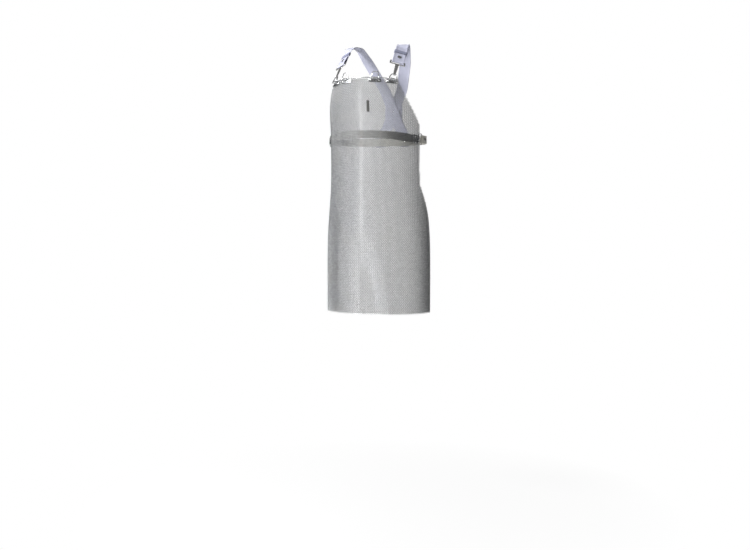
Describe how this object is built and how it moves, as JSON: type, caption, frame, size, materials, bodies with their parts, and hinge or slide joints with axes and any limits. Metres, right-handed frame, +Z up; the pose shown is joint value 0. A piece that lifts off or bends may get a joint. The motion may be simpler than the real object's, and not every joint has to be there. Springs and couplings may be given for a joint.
{
  "type": "butcher apron",
  "caption": "Ring-mesh butcher apron hung by clips, rings and T-plates from shoulder straps crossed at the back, with a riveted waist belt and press-stud tails.",
  "frame": {"origin": "midway between the two level strap undersides that rest on the wearer's shoulders", "axes": "+Z up, -Y the way the wearer faces, +X towards the wearer's left hand"},
  "size_m": [0.352, 0.2599, 0.8597],
  "materials": {
    "ring_mesh": "satin",
    "steel": "polished",
    "strap": "satin",
    "belt": "matte",
    "tag": "matte"
  },
  "bodies": {
    "apron": {"anchor_plate_left": "steel", "anchor_plate_right": "steel", "anchor_rivet_1_left": "steel", "anchor_rivet_1_right": "steel", "anchor_rivet_2_left": "steel", "anchor_rivet_2_right": "steel", "belt_front": "belt", "belt_rear": "belt", "belt_stud_post_left": "steel", "belt_stud_post_right": "steel", "corner_clip_left_back_plate": "steel", "corner_clip_left_front_plate": "steel", "corner_clip_left_rivet_1": "steel", "corner_clip_left_rivet_2": "steel", "corner_clip_right_back_plate": "steel", "corner_clip_right_front_plate": "steel", "corner_clip_right_rivet_1": "steel", "corner_clip_right_rivet_2": "steel", "cross_patch": "strap", "cross_rivet": "steel", "inner_clip_left_back_plate": "steel", "inner_clip_left_front_plate": "steel", "inner_clip_left_rivet_1": "steel", "inner_clip_left_rivet_2": "steel", "inner_clip_right_back_plate": "steel", "inner_clip_right_front_plate": "steel", "inner_clip_right_rivet_1": "steel", "inner_clip_right_rivet_2": "steel", "mail_front": "ring_mesh", "shoulder_strap_left": "strap", "shoulder_strap_right": "strap", "size_tag": "tag", "strap_end_rivet_left": "steel", "strap_end_rivet_right": "steel", "strap_stud_post_left": "steel", "strap_stud_post_right": "steel", "top_edge_wire": "steel"},
    "wing_left": {"mail_wing_left": "ring_mesh"},
    "inner_ring_left": {"inner_clip_left_ring": "steel"},
    "corner_ring_left": {"corner_ring_left": "steel"},
    "t_plate_left": {"t_plate_left": "steel"},
    "strap_tail_left": {"strap_tail_left": "strap", "strap_stud_cap_left": "steel"},
    "strap_keeper_left": {"strap_keeper_left": "strap"},
    "belt_ring_left": {"belt_ring_left": "steel"},
    "belt_tail_left": {"belt_tail_left": "belt", "belt_stud_cap_left": "steel"},
    "wing_right": {"mail_wing_right": "ring_mesh"},
    "inner_ring_right": {"inner_clip_right_ring": "steel"},
    "corner_ring_right": {"corner_ring_right": "steel"},
    "t_plate_right": {"t_plate_right": "steel"},
    "strap_tail_right": {"strap_tail_right": "strap", "strap_stud_cap_right": "steel"},
    "strap_keeper_right": {"strap_keeper_right": "strap"},
    "belt_ring_right": {"belt_ring_right": "steel"},
    "belt_tail_right": {"belt_tail_right": "belt", "belt_stud_cap_right": "steel"}
  },
  "joints": [
    {"name": "wing_left_fold", "type": "hinge", "parent": "apron", "child": "wing_left", "pos_m": [0.16465, -0.02673, -0.44466], "axis": [0.0272, -0.0296, -0.9992], "range_deg": [0, 60]},
    {"name": "inner_ring_left_swing", "type": "hinge", "parent": "apron", "child": "inner_ring_left", "pos_m": [0.05247, -0.13679, -0.11373], "axis": [0.9556, 0.2895, -0.0556], "range_deg": [0, 150]},
    {"name": "corner_ring_left_swing", "type": "hinge", "parent": "apron", "child": "corner_ring_left", "pos_m": [0.10317, -0.1127, -0.11811], "axis": [0.8674, 0.4188, -0.2687], "range_deg": [0, 5]},
    {"name": "t_plate_left_swing", "type": "hinge", "parent": "corner_ring_left", "child": "t_plate_left", "pos_m": [0.10238, -0.10132, -0.10292], "axis": [0.8674, 0.4188, -0.2687], "range_deg": [-7, 0]},
    {"name": "strap_tail_left_open", "type": "hinge", "parent": "apron", "child": "strap_tail_left", "pos_m": [0.1023, -0.07132, -0.05643], "axis": [0.8674, 0.4188, -0.2687], "range_deg": [0, 100]},
    {"name": "strap_keeper_left_slide", "type": "slide", "parent": "apron", "child": "strap_keeper_left", "axis": [-0.0415, 0.599, 0.7997], "range_m": [0, 0.01]},
    {"name": "belt_ring_left_swing", "type": "hinge", "parent": "apron", "child": "belt_ring_left", "pos_m": [0.15877, -0.03875, -0.302], "axis": [0, 0, -1], "range_deg": [-2, 2]},
    {"name": "belt_tail_left_open", "type": "hinge", "parent": "apron", "child": "belt_tail_left", "pos_m": [0.16742, -0.02568, -0.302], "axis": [0, 0, -1], "range_deg": [0, 90]},
    {"name": "wing_right_fold", "type": "hinge", "parent": "apron", "child": "wing_right", "pos_m": [-0.16465, -0.02673, -0.44466], "axis": [0.0272, 0.0296, 0.9992], "range_deg": [0, 60]},
    {"name": "inner_ring_right_swing", "type": "hinge", "parent": "apron", "child": "inner_ring_right", "pos_m": [-0.05247, -0.13679, -0.11373], "axis": [0.9556, -0.2895, 0.0556], "range_deg": [0, 150]},
    {"name": "corner_ring_right_swing", "type": "hinge", "parent": "apron", "child": "corner_ring_right", "pos_m": [-0.10317, -0.1127, -0.11811], "axis": [0.8674, -0.4188, 0.2687], "range_deg": [0, 5]},
    {"name": "t_plate_right_swing", "type": "hinge", "parent": "corner_ring_right", "child": "t_plate_right", "pos_m": [-0.10238, -0.10132, -0.10292], "axis": [0.8674, -0.4188, 0.2687], "range_deg": [-7, 0]},
    {"name": "strap_tail_right_open", "type": "hinge", "parent": "apron", "child": "strap_tail_right", "pos_m": [-0.1023, -0.07132, -0.05643], "axis": [0.8674, -0.4188, 0.2687], "range_deg": [0, 100]},
    {"name": "strap_keeper_right_slide", "type": "slide", "parent": "apron", "child": "strap_keeper_right", "axis": [0.0415, 0.599, 0.7997], "range_m": [0, 0.01]},
    {"name": "belt_ring_right_swing", "type": "hinge", "parent": "apron", "child": "belt_ring_right", "pos_m": [-0.15877, -0.03875, -0.302], "axis": [0, 0, 1], "range_deg": [-2, 2]},
    {"name": "belt_tail_right_open", "type": "hinge", "parent": "apron", "child": "belt_tail_right", "pos_m": [-0.16742, -0.02568, -0.302], "axis": [0, 0, 1], "range_deg": [0, 90]}
  ],
  "couplings": [
    {"joint": "t_plate_left_swing", "follows": "corner_ring_left_swing", "ratio": -1.3654},
    {"joint": "t_plate_right_swing", "follows": "corner_ring_right_swing", "ratio": -1.3654}
  ]
}
